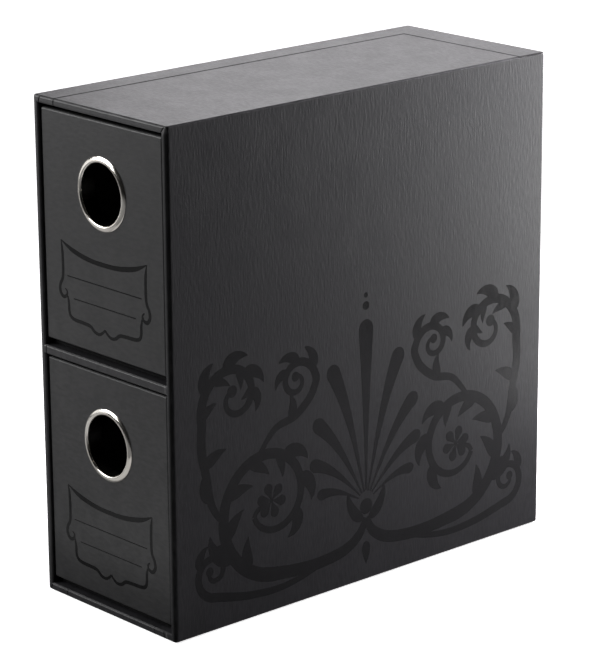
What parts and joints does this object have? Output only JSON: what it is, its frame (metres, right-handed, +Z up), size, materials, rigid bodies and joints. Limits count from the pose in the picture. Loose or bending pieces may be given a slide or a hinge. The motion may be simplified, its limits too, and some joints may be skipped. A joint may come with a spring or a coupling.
{
  "type": "trading card drawer box",
  "caption": "Tall narrow paper-covered board box with full-depth card drawers stacked one above the other, each pulled out by a metal finger ring.",
  "frame": {"origin": "middle of the underside", "axes": "+Z up, the drawers open towards -Y, +X to the right of someone facing the drawers"},
  "size_m": [0.081, 0.202, 0.205],
  "materials": {
    "black_grained_paper": "satin",
    "black_paper": "matte",
    "greyboard": "matte",
    "nickel": "polished"
  },
  "bodies": {
    "case": {"case_left_board": "greyboard", "case_right_board": "greyboard", "case_top_board": "greyboard", "case_bottom_board": "greyboard", "case_back_board": "greyboard", "shelf_board": "greyboard", "left_back_cover": "black_grained_paper", "top_right_cover": "black_grained_paper", "base_cover": "black_grained_paper", "shelf_edge_cover": "black_grained_paper", "upper_compartment_lining": "black_paper", "lower_compartment_lining": "black_paper"},
    "upper_drawer": {"upper_tray_left_board": "greyboard", "upper_tray_right_board": "greyboard", "upper_tray_front_board": "greyboard", "upper_tray_back_board": "greyboard", "upper_tray_floor_board": "greyboard", "upper_tray_cover": "black_paper", "upper_tray_lining": "black_paper", "upper_face_board": "greyboard", "upper_face_cover": "black_grained_paper", "upper_ring_front": "nickel", "upper_ring_back": "nickel"},
    "lower_drawer": {"lower_tray_left_board": "greyboard", "lower_tray_right_board": "greyboard", "lower_tray_front_board": "greyboard", "lower_tray_back_board": "greyboard", "lower_tray_floor_board": "greyboard", "lower_tray_cover": "black_paper", "lower_tray_lining": "black_paper", "lower_face_board": "greyboard", "lower_face_cover": "black_grained_paper", "lower_ring_front": "nickel", "lower_ring_back": "nickel"}
  },
  "joints": [
    {"name": "upper_drawer_slide", "type": "slide", "parent": "case", "child": "upper_drawer", "axis": [0, -1, 0], "range_m": [0, 0.165]},
    {"name": "lower_drawer_slide", "type": "slide", "parent": "case", "child": "lower_drawer", "axis": [0, -1, 0], "range_m": [0, 0.165]}
  ]
}
